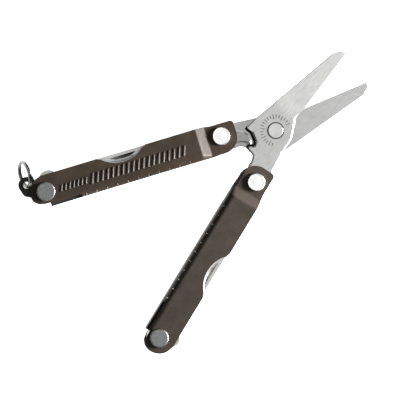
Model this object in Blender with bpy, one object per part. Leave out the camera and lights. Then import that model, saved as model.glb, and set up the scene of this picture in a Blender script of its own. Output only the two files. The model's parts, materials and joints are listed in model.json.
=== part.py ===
"""Key-ring multi-tool with spring-action scissors, lying open on its side.

The two scissor blades cross at the scissor rivet. Each blade's tang turns in the fork of a
folded-sheet handle, and each handle holds small tools on a rivet at its far end. Blades point
along +X, the tool lies on its rear rivet heads, and the part is centred over the origin.
Lengths are in millimetres until a mesh is made.
"""

import math

import bmesh
import bpy
from mathutils import Matrix, Vector

MM = 0.001

# How the pieces stand to each other, in degrees
BLADE_OPEN = 10.6          # each blade tip away from the centre line
HANDLE_OPEN = 20.1         # each handle's pivot-to-pivot line away from the centre line
HANDLE_TAPER = 0.7         # the folded sheet against its pivot-to-pivot line

# Scissors, in a blade's own frame: scissor rivet at the origin, +X to the tip, edge towards -Y
TANG_PIVOT = (-15.35, -5.8)
BLADE_THICK = 1.4
BLADE_GAP = 0.1            # from the middle plane to each blade
SPRING_EYE_R = 3.2
BUSH_R = 2.1

# Handle, in its own frame: tool rivet at the origin, +X to the fork, +Y to the open side
HANDLE_LENGTH = 54.0
SHEET = 0.8
CHANNEL_HALF = 4.75        # outer half height of the channel
FORK_HALF = 2.5            # outer half height of the fork
OPEN_EDGE = 4.85
FORK_EDGE = 4.45           # open edge of the fork's cheeks
WEB_FACE = -4.62
BEND_R = 2.0
FORK_BEND_R = 0.9
JOGGLE = (47.05, 49.8)
WEB_END = 48.6
WALL_LOW = -3.74           # wall edge beside the leaf spring
LEAF_TIP = 0.3
LEAF_ROOT = 9.8
LEAF_HALF = 2.75
CUTOUT_X = 24.3
CUTOUT_Y = 11.0
CUTOUT_R = 8.85
CUTOUT_FILLET = 2.4

# Rivets
SHANK_R = 1.5
HOLE_R = 1.6
TOOL_HEAD_R = 2.83
FORK_HEAD_R = 2.7
SCISSOR_HEAD_R = 2.2
HEAD_THICK = 0.9
SCISSOR_HEAD_THICK = 0.45
CLEAR = 0.05               # under a rivet head and between a shank's end and its cap

# Layers on the tool rivets, from low to high. The middle is kept free for the folded scissors
FRONT_TOOL = (2.35, 3.6)
FRONT_WASHER = (1.95, 2.25)
FRONT_DRIVER = (0.1, 1.85)
REAR_DRIVER = (-1.85, -0.1)
TWEEZER_ARMS = {"upper": (-2.4, -2.05), "lower": (-2.8, -2.45)}
NAIL_FILE = (-3.6, -2.9)
REAR_WASHER = (-3.9, -3.7)
LOOP_LAYER = (-2.25, -1.05)
LOOP_SPACERS = {"long": (-0.95, 1.85), "short": (-3.8, -2.35)}
TANG_R = 3.4
WASHER_R = 2.9

# Lanyard loop and split ring, in the frame of the tool rivet
LOOP_HOLE = (-4.95, 3.55)
LOOP_HOLE_R = 1.25
LOOP_R = 2.4
RING_R = 3.7
RING_WIRE_R = 0.5
RING_SEAT = (0.3, -0.5)    # from the middle of the eye to the middle of the wire
RING_LEAN = 88.0           # direction in which the ring stands away from the loop
RING_TILT = 67.6           # how steeply the ring stands up

ROUND_STEPS = 32
ARC_STEP = 15.0

STEEL = (0.62, 0.62, 0.60)
DARK_STEEL = (0.05, 0.05, 0.05)
BRONZE = (0.075, 0.062, 0.054)


def clear_scene():
    for obj in list(bpy.data.objects):
        bpy.data.objects.remove(obj, do_unlink=True)


def metal(name, colour, roughness):
    made = bpy.data.materials.new(name)
    made.use_nodes = True
    shader = made.node_tree.nodes["Principled BSDF"]
    shader.inputs["Base Color"].default_value = (*colour, 1.0)
    shader.inputs["Roughness"].default_value = roughness
    shader.inputs["Metallic"].default_value = 1.0
    return made


def turned_point(x, y, degrees):
    angle = math.radians(degrees)
    return x * math.cos(angle) - y * math.sin(angle), x * math.sin(angle) + y * math.cos(angle)


def arc(centre, radius, start, end):
    """Points on an arc from one angle to another, in degrees, both ends included."""
    steps = max(1, math.ceil(abs(end - start) / ARC_STEP))
    angles = [math.radians(start + (end - start) * i / steps) for i in range(steps + 1)]
    return [(centre[0] + radius * math.cos(a), centre[1] + radius * math.sin(a)) for a in angles]


def rounded(corners):
    """Outline through corners given as (x, y) or, for a rounded one, (x, y, radius)."""
    outline = []
    for i, corner in enumerate(corners):
        here = Vector(corner[:2])
        before = Vector(corners[i - 1][:2]) - here
        after = Vector(corners[(i + 1) % len(corners)][:2]) - here
        if len(corner) == 2:
            outline.append(tuple(here))
            continue
        half = before.angle(after) / 2
        reach = min(corner[2] / math.tan(half), 0.49 * before.length, 0.49 * after.length)
        first = here + before.normalized() * reach
        last = here + after.normalized() * reach
        steps = max(2, math.ceil((180 - math.degrees(2 * half)) / ARC_STEP))
        for k in range(steps + 1):
            t = k / steps
            outline.append(tuple(first * (1 - t) ** 2 + here * 2 * t * (1 - t) + last * t * t))
    return outline


def finish(name, bm, parent, material, location=(0, 0, 0)):
    """Turn a mesh made in millimetres into an object that stands on its parent."""
    bmesh.ops.remove_doubles(bm, verts=bm.verts, dist=0.0001)
    bmesh.ops.recalc_face_normals(bm, faces=bm.faces)
    bmesh.ops.scale(bm, vec=(MM, MM, MM), verts=bm.verts)
    mesh = bpy.data.meshes.new(name)
    bm.to_mesh(mesh)
    bm.free()
    mesh.shade_smooth()
    mesh.set_sharp_from_angle(angle=math.radians(30))
    obj = bpy.data.objects.new(name, mesh)
    bpy.context.collection.objects.link(obj)
    obj.parent = parent
    obj.location = Vector(location) * MM
    if material:
        mesh.materials.append(material)
    return obj


def plate(name, outline, low, high, parent, material, location=(0, 0, 0)):
    """Flat piece with the given outline between two heights."""
    bm = bmesh.new()
    face = bm.faces.new([bm.verts.new((x, y, low)) for x, y in outline])
    grown = bmesh.ops.extrude_face_region(bm, geom=[face])
    tops = [v for v in grown["geom"] if isinstance(v, bmesh.types.BMVert)]
    bmesh.ops.translate(bm, verts=tops, vec=(0, 0, high - low))
    return finish(name, bm, parent, material, location)


def lathe(name, profile, parent, material, location=(0, 0, 0), closed=False):
    """Turned piece: profile points are (radius, height) about the piece's Z axis."""
    bm = bmesh.new()
    verts = [bm.verts.new((r, 0, z)) for r, z in profile]
    pairs = list(zip(verts, verts[1:]))
    if closed:
        pairs.append((verts[-1], verts[0]))
    edges = [bm.edges.new(pair) for pair in pairs]
    bmesh.ops.spin(bm, geom=verts + edges, cent=(0, 0, 0), axis=(0, 0, 1),
                   angle=2 * math.pi, steps=ROUND_STEPS, use_merge=True)
    return finish(name, bm, parent, material, location)


def ring(name, inner, outer, low, high, parent, material, location=(0, 0, 0)):
    profile = [(inner, low), (outer, low), (outer, high), (inner, high)]
    return lathe(name, profile, parent, material, location, closed=True)


def cut(obj, cutter, operation="DIFFERENCE"):
    cutter.hide_render = True
    cutter.display_type = "WIRE"
    modifier = obj.modifiers.new(cutter.name, "BOOLEAN")
    modifier.operation = operation
    modifier.solver = "EXACT"
    modifier.object = cutter


def drill(obj, x, y, radius, reach):
    """Cut a round hole through a piece, parallel to its Z axis."""
    profile = [(0, -reach), (radius, -reach), (radius, reach), (0, reach)]
    hole = lathe(f"{obj.name}_hole", profile, obj.parent, None)
    hole.location = obj.location + Vector((x, y, 0)) * MM
    cut(obj, hole)


def block(name, low, high, parent, location):
    """Box used as a cutter."""
    outline = [(low[0], low[1]), (high[0], low[1]), (high[0], high[1]), (low[0], high[1])]
    return plate(name, outline, low[2], high[2], parent, None, location)


def axis_empty(name, location, degrees=0.0, parent=None):
    empty = bpy.data.objects.new(name, None)
    bpy.context.collection.objects.link(empty)
    empty.parent = parent
    empty.location = Vector((location[0], location[1], 0)) * MM
    empty.rotation_euler = (0, 0, math.radians(degrees))
    return empty


def sided(outline, side):
    """Outline of a piece for side +1, or mirrored across its X axis for side -1."""
    return [(x, side * y) for x, y in outline]


# Scissors


def blade_outline():
    """Pointed blade, hooked bay for the spring, and a tang that ends round its pivot."""
    px, py = TANG_PIVOT
    edge_side = [(1.2, -5.4, 2.0), (5.0, -3.3, 1.5), (6.8, -2.1, 1.5), (10.9, -2.0)]
    point = [(31.4, -0.45, 0.7), (30.9, 1.1, 1.2), (28.6, 2.6, 2.2)]
    spine = [(0.0, 6.62, 8.0), (-5.2, 6.95, 0.4)]
    bay = [(-5.05, 5.0, 1.5), (-6.4, 2.2, 1.2), (-7.5, 1.6, 0.8), (-8.9, 3.05, 0.4),
           (-9.6, 2.2, 0.6), (-10.0, 0.3, 0.8), (-11.3, -0.6, 1.0), (-13.2, -0.8, 1.0)]
    tang = arc((px, py), 3.1, 100, 284)
    return rounded(edge_side + point + spine + bay + tang + [(-3.4, -6.0, 3.0)])


def make_blade(name, side, parent, material):
    low, high = sorted((side * BLADE_GAP, side * (BLADE_GAP + BLADE_THICK)))
    blade = plate(name, sided(blade_outline(), side), low, high, parent, material)
    drill(blade, 0, 0, HOLE_R, 4)
    drill(blade, TANG_PIVOT[0], side * TANG_PIVOT[1], HOLE_R, 4)
    return blade


def spring_outline():
    """Beak-shaped lever round the fork rivet, in the frame of the back blade's mirror."""
    px, py = TANG_PIVOT
    beak = [(-10.4, -5.3, 1.0), (-8.8, -4.25, 1.0), (-7.85, -2.7, 1.0), (-7.65, -0.8, 1.5),
            (-8.4, 0.95, 0.5), (-9.6, -1.05, 0.8), (-11.5, -1.8, 1.2)]
    return rounded(arc((px, py), SPRING_EYE_R, 65, 275) + beak)


def make_spring(spring_axis, material):
    low, high = BLADE_GAP, BLADE_GAP + BLADE_THICK
    px, py = TANG_PIVOT
    outline = [(x - px, -(y - py)) for x, y in spring_outline()]
    spring = plate("scissor_spring", outline, low, high, spring_axis, material)
    drill(spring, 0, 0, BUSH_R + 0.1, 4)
    ring("spring_bush", HOLE_R, BUSH_R, low, high, spring_axis, material)


def make_rivet(name, parent, location, head_r, reach, thick, shank_r, material):
    """Post with a rear head, and a cap that closes over the end of its shank."""
    under = reach + CLEAR
    top = under + 0.55 * thick
    post = [(0, -under - thick), (head_r, -under - thick), (head_r, -under),
            (shank_r, -under), (shank_r, top), (0, top)]
    bore = shank_r + 0.05
    cap = [(bore, under), (head_r, under), (head_r, under + thick), (0, under + thick),
           (0, top + CLEAR), (bore, top + CLEAR), (bore, under)]
    lathe(f"{name}_post", post, parent, material, location)
    lathe(f"{name}_cap", cap, parent, material, location)


# Handles


def channel_section(half, bend):
    """U section of the folded sheet as (y, z) points, open towards +Y."""
    outer = [(OPEN_EDGE, half)]
    outer += arc((WEB_FACE + bend, half - bend), bend, 90, 180)
    outer += arc((WEB_FACE + bend, bend - half), bend, 180, 270)
    outer.append((OPEN_EDGE, -half))
    inner = [(OPEN_EDGE, half - SHEET)]
    inner += arc((WEB_FACE + bend, half - bend), bend - SHEET, 90, 180)
    inner += arc((WEB_FACE + bend, bend - half), bend - SHEET, 180, 270)
    inner.append((OPEN_EDGE, SHEET - half))
    return outer + inner[::-1]


def folded_sheet(name, side, parent, material, location):
    """U channel that narrows at the joggle into the flat cheeks of the fork."""
    stations = [(-6.0, CHANNEL_HALF, BEND_R), (JOGGLE[0], CHANNEL_HALF, BEND_R),
                (JOGGLE[1], FORK_HALF, FORK_BEND_R), (60.0, FORK_HALF, FORK_BEND_R)]
    bm = bmesh.new()
    loops = []
    for x, half, bend in stations:
        section = channel_section(half, bend)
        loops.append([bm.verts.new((x, side * y, z)) for y, z in section])
    for one, other in zip(loops, loops[1:]):
        for i in range(len(one)):
            bm.faces.new((one[i - 1], one[i], other[i], other[i - 1]))
    bm.faces.new(loops[0])
    bm.faces.new(loops[-1])
    return finish(name, bm, parent, material, location)


def wall_outline():
    """Side view of a handle: round tool end, leaf tip, fork end and thumb cutout."""
    fillet_y = OPEN_EDGE - CUTOUT_FILLET
    reach_y = CUTOUT_Y - fillet_y
    reach_x = math.sqrt((CUTOUT_R + CUTOUT_FILLET) ** 2 - reach_y ** 2)
    slope = math.degrees(math.atan2(reach_y, reach_x))
    fork_side = arc((CUTOUT_X + reach_x, fillet_y), CUTOUT_FILLET, 90, 180 - slope)
    thumb = arc((CUTOUT_X, CUTOUT_Y), CUTOUT_R, 360 - slope, 180 + slope)
    tool_side = arc((CUTOUT_X - reach_x, fillet_y), CUTOUT_FILLET, slope, 90)
    tool_end = arc((0, 0), 4.7, 100, 205)
    leaf = [(-3.0, -3.05, 0.8), (-1.0, -3.42), (LEAF_TIP, -3.42), (LEAF_TIP, -6.0)]
    fork = [(50.8, -6.0), (50.8, -4.6)] + arc((53.75, 0.45), 4.95, 262, 360)
    corner = [(58.6, FORK_EDGE, 1.2), (51.5, FORK_EDGE, 2.0), (49.0, OPEN_EDGE, 2.0)]
    corners = fork + corner + fork_side + thumb + tool_side + [(-0.5, OPEN_EDGE, 1.0)]
    return rounded(corners + tool_end + leaf)


def make_handle(name, side, fold_axis, material):
    """Folded-sheet handle with its leaf spring, rivets and washers."""
    drop = HANDLE_LENGTH * math.sin(math.radians(HANDLE_TAPER))
    length = HANDLE_LENGTH * math.cos(math.radians(HANDLE_TAPER))
    start = (-length, -side * drop, 0)
    frame = folded_sheet(f"{name}_frame", side, fold_axis, material, start)
    wall = plate(f"{name}_wall", sided(wall_outline(), side), -6, 6, fold_axis, None, start)
    cut(frame, wall, "INTERSECT")
    inner = FORK_HALF - SHEET
    low_y, high_y = sorted((side * -7, side * -3.6))
    gap = block(f"{name}_fork_gap", (WEB_END, low_y, -inner), (62, high_y, inner), fold_axis, start)
    cut(frame, gap)
    low_y, high_y = sorted((side * -7, side * WALL_LOW))
    for face in (1, -1):
        low_z, high_z = sorted((face * LEAF_HALF, face * 7))
        slit = block(f"{name}_slit", (-7, low_y, low_z), (LEAF_ROOT, high_y, high_z), fold_axis, start)
        cut(frame, slit)
    drill(frame, 0, 0, HOLE_R, 8)
    drill(frame, length, side * drop, HOLE_R, 8)
    return start


# Tools on the tool rivets: each outline starts round its tang, with its spine towards +Y


def tang_round():
    return arc((0, 0), TANG_R, 118, 285)


def stop_lobe():
    """Hump on a tang that meets the leaf tip when the tool is out."""
    return arc((1.7, 3.1), 2.85, 20, 150)


def knife_outline():
    edge = [(8.0, -3.3, 0.6), (9.3, -2.2, 0.6), (10.5, -2.9, 0.5), (30.0, -2.9, 12.0)]
    spine = [(44.0, 2.9), (34.0, 4.8, 12.0), (4.6, 4.8, 0.6)]
    return rounded(arc((0, 0), TANG_R, 102, 285) + edge + spine + stop_lobe())


def file_outline():
    return rounded(tang_round() + [(8.0, -3.0, 0.6), (37.0, -2.9, 3.0), (43.5, 0.8, 0.6), (39.0, 4.2, 2.0),
                                   (5.2, 4.2, 1.6), (2.0, 3.3, 1.0)])


def opener_outline():
    return rounded(tang_round() + [(8.0, -3.0, 0.6), (17.0, -2.9, 1.5), (20.5, 0.2, 1.2),
                                   (26.0, 1.3, 1.8), (28.4, -1.6, 0.5), (31.5, -2.8, 1.5),
                                   (38.0, -1.8, 3.0),
                                   (43.5, -1.2, 0.3), (43.5, 2.2, 0.3), (36.0, 4.4, 6.0),
                                   (5.2, 4.4, 1.6), (2.0, 3.3, 1.0)])


def tweezer_outline():
    return rounded(tang_round() + [(14.0, -2.6, 8.0), (41.0, 0.9, 0.4), (41.0, 2.0, 0.4),
                                   (26.0, 4.1, 9.0), (5.2, 4.1, 1.6), (2.0, 3.3, 1.0)])


def phillips_outline():
    tip = [(20.0, -3.3, 1.5), (22.0, -2.6, 0.5), (25.5, -2.1, 0.5), (25.5, -0.6, 0.5),
           (22.0, -0.1, 0.5), (20.0, 0.7, 1.5), (4.4, 0.9, 1.2)]
    return rounded(arc((0, 0), TANG_R, 102, 285) + tip + stop_lobe())


def small_driver_outline():
    tip = [(15.0, -3.3, 2.0), (17.0, -2.2, 1.0), (23.5, -1.9, 0.2), (23.5, -0.6, 0.2),
           (17.0, -0.3, 1.0), (15.0, 0.7, 2.0), (4.4, 0.9, 1.2)]
    return rounded(arc((0, 0), TANG_R, 102, 285) + tip + stop_lobe())


def make_tool(name, outline, side, bounds, tool_axis, material):
    tool = plate(name, sided(outline, side), bounds[0], bounds[1], tool_axis, material)
    drill(tool, 0, 0, HOLE_R, 6)
    return tool


def nail_nick(tool, side, centre_x, top_y, half_length, depth_y):
    """Crescent pressed into the front face near the spine, to lift the tool by."""
    radius = (half_length ** 2 + depth_y ** 2) / (2 * depth_y)
    spread = math.degrees(math.asin(half_length / radius))
    outline = arc((centre_x, top_y + radius - depth_y), radius, 270 - spread, 270 + spread)
    face = FRONT_TOOL[1]
    nick = plate(f"{tool.name}_nick", sided(outline, side), face - 0.5, face + 1, tool.parent, None)
    cut(tool, nick)


def make_loop(tool_axis, material):
    """Flat lanyard loop that turns on the tool rivet behind the knife."""
    hx, hy = LOOP_HOLE
    eye = arc((hx, hy), LOOP_R, 75, 200)
    neck = [(-6.5, 0.55, 1.2), (-4.3, -0.65, 1.5)]
    hub = arc((0, 0), TANG_R, 215, 395)
    outline = rounded([(-2.6, 5.85, 0.4)] + eye + neck + hub + [(-0.5, 3.6, 1.0), (-2.3, 4.3, 0.5)])
    loop = plate("lanyard_loop", outline, *LOOP_LAYER, tool_axis, material)
    drill(loop, 0, 0, HOLE_R, 6)
    drill(loop, hx, hy, LOOP_HOLE_R, 6)


def make_split_ring(tool_axis, material):
    """Round wire ring that hangs through the loop's eye and stands up beside the handle."""
    lean = Vector((*turned_point(1, 0, RING_LEAN), 0))
    across = Vector((lean.y, -lean.x, 0))
    tilt = math.radians(RING_TILT)
    rise = across * math.cos(tilt) + Vector((0, 0, math.sin(tilt)))
    wire = [(RING_R + RING_WIRE_R * math.cos(i * math.pi / 4), RING_WIRE_R * math.sin(i * math.pi / 4))
            for i in range(8)]
    split_ring = lathe("split_ring", wire, tool_axis, material, closed=True)
    seat = Vector((LOOP_HOLE[0] + RING_SEAT[0], LOOP_HOLE[1] + RING_SEAT[1], sum(LOOP_LAYER) / 2))
    centre = (seat + lean * RING_R) * MM
    turn = Matrix((lean, rise, lean.cross(rise))).transposed().to_4x4()
    split_ring.matrix_local = Matrix.Translation(centre) @ turn


def make_scissors(assembly, steel):
    front_axis = axis_empty("front_blade_axis", (0, 0), BLADE_OPEN, assembly)
    back_axis = axis_empty("back_blade_axis", (0, 0), -BLADE_OPEN, assembly)
    fork_b = turned_point(*TANG_PIVOT, BLADE_OPEN)
    fork_a = (fork_b[0], -fork_b[1])
    spring_axis = axis_empty("spring_axis", fork_a, -BLADE_OPEN, assembly)
    make_blade("front_blade", 1, front_axis, steel)
    make_blade("back_blade", -1, back_axis, steel)
    make_spring(spring_axis, steel)
    reach = BLADE_GAP + BLADE_THICK
    make_rivet("scissor_rivet", assembly, (0, 0, 0), SCISSOR_HEAD_R, reach,
               SCISSOR_HEAD_THICK, SHANK_R, steel)
    return fork_a, fork_b


def make_handle_group(letter, side, fork, assembly, bronze, steel):
    """A handle on its fold axis, with the rivets and washers that ride with it."""
    turn = -side * (HANDLE_OPEN + HANDLE_TAPER)
    fold_axis = axis_empty(f"handle_{letter}_axis", fork, turn, assembly)
    name = f"handle_{letter}"
    start = make_handle(name, side, fold_axis, bronze)
    tool_axis = axis_empty(f"handle_{letter}_tool_axis", start[:2], 0, fold_axis)
    make_rivet(f"{name}_fork_rivet", fold_axis, (0, 0, 0), FORK_HEAD_R, FORK_HALF,
               HEAD_THICK, SHANK_R, steel)
    make_rivet(f"{name}_tool_rivet", tool_axis, (0, 0, 0), TOOL_HEAD_R, CHANNEL_HALF,
               HEAD_THICK, SHANK_R, steel)
    ring(f"{name}_front_washer", HOLE_R, WASHER_R, *FRONT_WASHER, tool_axis, steel)
    return fold_axis, tool_axis


def make_tools_a(tool_axis, steel, dark):
    knife = make_tool("knife_blade", knife_outline(), 1, FRONT_TOOL, tool_axis, steel)
    nail_nick(knife, 1, 24.5, 3.9, 4.2, 1.15)
    for word, bounds in LOOP_SPACERS.items():
        ring(f"{word}_spacer", HOLE_R, WASHER_R, *bounds, tool_axis, steel)
    make_loop(tool_axis, dark)
    make_split_ring(tool_axis, steel)


def make_tools_b(fold_axis, tool_axis, steel):
    opener = make_tool("bottle_opener", opener_outline(), -1, FRONT_TOOL, tool_axis, steel)
    nail_nick(opener, -1, 23.6, 3.35, 4.4, 1.05)
    make_tool("phillips_driver", phillips_outline(), -1, FRONT_DRIVER, tool_axis, steel)
    make_tool("small_driver", small_driver_outline(), -1, REAR_DRIVER, tool_axis, steel)
    for word, bounds in TWEEZER_ARMS.items():
        make_tool(f"tweezer_{word}_arm", tweezer_outline(), -1, bounds, tool_axis, steel)
    make_tool("nail_file", file_outline(), -1, NAIL_FILE, tool_axis, steel)
    ring("handle_b_rear_washer", HOLE_R, WASHER_R, *REAR_WASHER, tool_axis, steel)
    ring("tang_spacer", HOLE_R, WASHER_R, -BLADE_GAP - BLADE_THICK, -BLADE_GAP, fold_axis, steel)


def centre_on_base(assembly):
    """Move the assembly so that the middle of its base is at the origin."""
    depsgraph = bpy.context.evaluated_depsgraph_get()
    depsgraph.update()
    corners = []
    for obj in bpy.data.objects:
        if obj.type == "MESH" and not obj.hide_render:
            solid = obj.evaluated_get(depsgraph)
            corners += [solid.matrix_world @ v.co for v in solid.data.vertices]
    low = Vector([min(c[i] for c in corners) for i in range(3)])
    high = Vector([max(c[i] for c in corners) for i in range(3)])
    middle = (low + high) / 2
    assembly.location = (-middle.x, -middle.y, -low.z)


def main():
    clear_scene()
    steel = metal("steel", STEEL, 0.35)
    dark = metal("dark_steel", DARK_STEEL, 0.45)
    bronze = metal("bronze_coat", BRONZE, 0.45)
    assembly = axis_empty("assembly", (0, 0))
    fork_a, fork_b = make_scissors(assembly, steel)
    _, tools_a = make_handle_group("a", 1, fork_a, assembly, bronze, steel)
    fold_b, tools_b = make_handle_group("b", -1, fork_b, assembly, bronze, steel)
    make_tools_a(tools_a, steel, dark)
    make_tools_b(fold_b, tools_b, steel)
    centre_on_base(assembly)


main()
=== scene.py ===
"""Looks of the key-ring multi-tool: fine meshes, metal finishes, floor, light and camera.

Shapes are made in millimetres in the frame of the joint that they turn about, as in the CAD, and
then put into the row frame, in metres. Handle B and the rear blade are mirrored copies.
"""

import json
import math

import bmesh
import bpy
from mathutils import Matrix, Vector


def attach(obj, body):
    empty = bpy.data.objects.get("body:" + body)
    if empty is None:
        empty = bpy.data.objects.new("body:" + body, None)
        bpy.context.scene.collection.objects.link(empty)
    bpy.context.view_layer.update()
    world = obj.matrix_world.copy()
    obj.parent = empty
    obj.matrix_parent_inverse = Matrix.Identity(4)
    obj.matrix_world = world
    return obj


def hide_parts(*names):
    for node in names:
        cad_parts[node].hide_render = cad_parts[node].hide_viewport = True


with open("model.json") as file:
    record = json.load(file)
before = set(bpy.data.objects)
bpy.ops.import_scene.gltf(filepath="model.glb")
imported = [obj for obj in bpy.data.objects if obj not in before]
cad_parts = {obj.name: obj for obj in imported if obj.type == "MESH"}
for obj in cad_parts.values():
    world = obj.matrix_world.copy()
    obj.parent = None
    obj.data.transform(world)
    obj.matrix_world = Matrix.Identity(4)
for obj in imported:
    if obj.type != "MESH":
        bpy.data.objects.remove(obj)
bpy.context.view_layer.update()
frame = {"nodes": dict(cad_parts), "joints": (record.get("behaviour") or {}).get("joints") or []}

MM = 0.001
JOINTS = {joint["name"]: joint for joint in frame["joints"]}

# Camera: nearly straight down, a little from the left, with the scissors pointing up and right
CAMERA_TURN = -37.7
CAMERA_AIM = (-10.62, -5.75, 10.45)
CAMERA_PLACE = (-43.97, 16.5, 560.45)
CAMERA_DISTANCE = 550.0
VIEW_WIDTH = 117.1

# Floor, in metres, and the world's light
FLOOR_Z = -0.0002
FLOOR_HALF = 3.0
WORLD_STRENGTH = 0.1

# Scissors
TANG_PIVOT = (-15.35, -5.8)
BLADE_FACES = (0.1, 1.5)
SPRING_EYE_R = 3.2
FRONT_CHAMFER = 0.55
BACK_CHAMFER = 0.2
SPINE_CHAMFER_SHARE = 0.25
SPRING_CHAMFER = 0.35
SIDE_NORMAL_Z = 0.6
GRIND_RAMP = 5.0

# Recess beside the spring, coloured near-black as painted shade of the gap: depth, margin round the
# blade's outline, and the box that bounds it
POCKET_DEPTH = 0.4
POCKET_MARGIN = 0.55
POCKET_BOX = ((-13.6, -1.6, -1), (-4.6, 7.2, 1))

# Groove round the scissor rivet: how far past its head it starts and ends, and its depth
HEAD_GROOVE = (0.03, 0.32)
HEAD_GROOVE_DEPTH = 0.35

# Radial marks round the scissor rivet: radii, extra length of every third, width and depth
DIAL_RADII = (3.75, 4.75)
DIAL_LONGER = 0.35
DIAL_MARK = (0.24, 0.06)
DIAL_ANGLES = [-20 + 12 * i for i in range(20)]

# Handles
HANDLE_TAPER = 0.7
HANDLE_LENGTH = 54.0
SHEET = 0.8
CHANNEL_HALF = 4.75
FORK_HALF = 2.5
OPEN_EDGE = 4.85
FORK_EDGE = 4.45
WEB_FACE = -4.62
BEND_R = 2.0
FORK_BEND_R = 0.9
JOGGLE = (47.05, 49.8)
JOGGLE_ROUND = 0.7
WEB_END = 48.6
WALL_LOW = -3.8
LEAF_TIP = 0.3
LEAF_ROOT = 9.8
LEAF_HALF = 2.75
CUTOUT = (24.3, 11.0)
CUTOUT_R = 8.85
CUTOUT_FILLET = 2.4
CUTOUT_CHAMFER = 0.35
TICK_PITCH = 3.175
TICK_FIRST = 11.2
TICK_COUNT = 11
TICK_HALF = 0.1
TICK_ARC = (126, 146)
SHEET_EDGE_BEVEL = 0.09

# Ribs on handle A: x of the first, pitch, count, half length and width
RIBS = ((4.6, 1.25, 7, 1.05, 0.5), (14.0, 1.56, 19, 1.6, 0.62))
RIB_SLANT = 0.32
RIB_Y = -0.25
# Height above the wall, and how far the rib is drawn in there
RIB_LEVELS = ((-0.1, 0.0), (0.0, 0.0), (0.16, 0.17), (0.2, 0.24))

# Rivets
HOLE_R = 1.6
TOOL_HEAD_R = 2.83
FORK_HEAD_R = 2.7
SCISSOR_HEAD_R = 2.2
HEAD_THICK = 0.9
SCISSOR_HEAD_THICK = 0.25
CLEAR = 0.05
KNURLS = 34
KNURL_DEPTH = 0.24

# Tools, from low to high on their rivet
FRONT_TOOL = (2.35, 3.6)
FRONT_DRIVER = (0.1, 1.85)
REAR_DRIVER = (-1.85, -0.1)
TWEEZER_ARMS = {"upper": (-2.4, -2.05), "lower": (-2.8, -2.45)}
NAIL_FILE = (-3.6, -2.9)
LOOP_LAYER = (-2.25, -1.05)
TANG_R = 3.4
NICK_SLOPE = 0.6

# Lanyard loop and split ring
LOOP_HOLE = (-4.95, 3.55)
LOOP_HOLE_R = 1.0
LOOP_R = 2.4
RING_R = 3.7
RING_WIRE_R = 0.5
RING_WIRE_WIDTH = 0.92
RING_WIRE_HEIGHT = 0.52
RING_SEAT = (0.3, -0.5)
RING_LEAN = 88.0
RING_TILT = 67.6

ARC_STEP = 6.0


# Places in the row frame


def joint_point(name):
    return Vector(JOINTS[name]["pos_m"])


def bearing(start, end):
    return math.atan2(end.y - start.y, end.x - start.x)


def place(point, turn, mirror_y=1, mirror_z=1):
    """Matrix from a piece's own frame, in millimetres, to the row frame, in metres."""
    scale = Matrix.Diagonal((MM, mirror_y * MM, mirror_z * MM, 1.0))
    return Matrix.Translation(point) @ Matrix.Rotation(turn, 4, "Z") @ scale


SCISSOR = joint_point("scissor_cut")
FORK_A = joint_point("handle_a_fold")
FORK_B = joint_point("handle_b_fold")
TOOLS_A = joint_point("knife_open")
TOOLS_B = joint_point("opener_open")
BLADE_TURN = bearing(SCISSOR, FORK_B) - math.atan2(TANG_PIVOT[1], TANG_PIVOT[0])
TAPER = math.radians(HANDLE_TAPER)
TURN_A = bearing(TOOLS_A, FORK_A) - TAPER
TURN_B = bearing(TOOLS_B, FORK_B) + TAPER
IN_FRONT_BLADE = place(SCISSOR, BLADE_TURN)
IN_BACK_BLADE = place(SCISSOR, -BLADE_TURN, -1, -1)
IN_SPRING = place(SCISSOR, -BLADE_TURN, -1)
IN_A = place(TOOLS_A, TURN_A)
IN_B = place(TOOLS_B, TURN_B, -1)
FORK_X = HANDLE_LENGTH * math.cos(TAPER)
FORK_Y = HANDLE_LENGTH * math.sin(TAPER)


# Outlines


def arc(centre, radius, start, end, step=ARC_STEP):
    """Points on an arc from one angle to another, in degrees, both ends included."""
    steps = max(1, math.ceil(abs(end - start) / step))
    angles = [math.radians(start + (end - start) * i / steps) for i in range(steps + 1)]
    return [(centre[0] + radius * math.cos(a), centre[1] + radius * math.sin(a)) for a in angles]


def rounded(corners):
    """Outline through corners given as (x, y) or, for a rounded one, (x, y, radius)."""
    outline = []
    for i, corner in enumerate(corners):
        here = Vector(corner[:2])
        before = Vector(corners[i - 1][:2]) - here
        after = Vector(corners[(i + 1) % len(corners)][:2]) - here
        if len(corner) == 2:
            outline.append(tuple(here))
            continue
        half = before.angle(after) / 2
        reach = min(corner[2] / math.tan(half), 0.49 * before.length, 0.49 * after.length)
        first = here + before.normalized() * reach
        last = here + after.normalized() * reach
        steps = max(3, math.ceil((180 - math.degrees(2 * half)) / ARC_STEP))
        for k in range(steps + 1):
            t = k / steps
            outline.append(tuple(first * (1 - t) ** 2 + here * 2 * t * (1 - t) + last * t * t))
    return outline


def blade_outline():
    px, py = TANG_PIVOT
    edge_side = [(1.2, -5.4, 2.0), (5.0, -3.3, 1.5), (6.8, -2.1, 1.5), (10.9, -2.0)]
    point = [(31.4, -0.45, 0.7), (30.9, 1.1, 1.2), (28.6, 2.6, 2.2)]
    spine = [(0.0, 6.62, 8.0), (-5.2, 6.95, 0.4)]
    bay = [(-5.05, 5.0, 1.5), (-6.4, 2.2, 1.2), (-7.5, 1.6, 0.8), (-8.9, 3.05, 0.4),
           (-9.6, 2.2, 0.6), (-10.0, 0.3, 0.8), (-11.3, -0.6, 1.0), (-13.2, -0.8, 1.0)]
    tang = arc((px, py), 3.1, 100, 284)
    return rounded(edge_side + point + spine + bay + tang + [(-3.4, -6.0, 3.0)])


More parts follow.
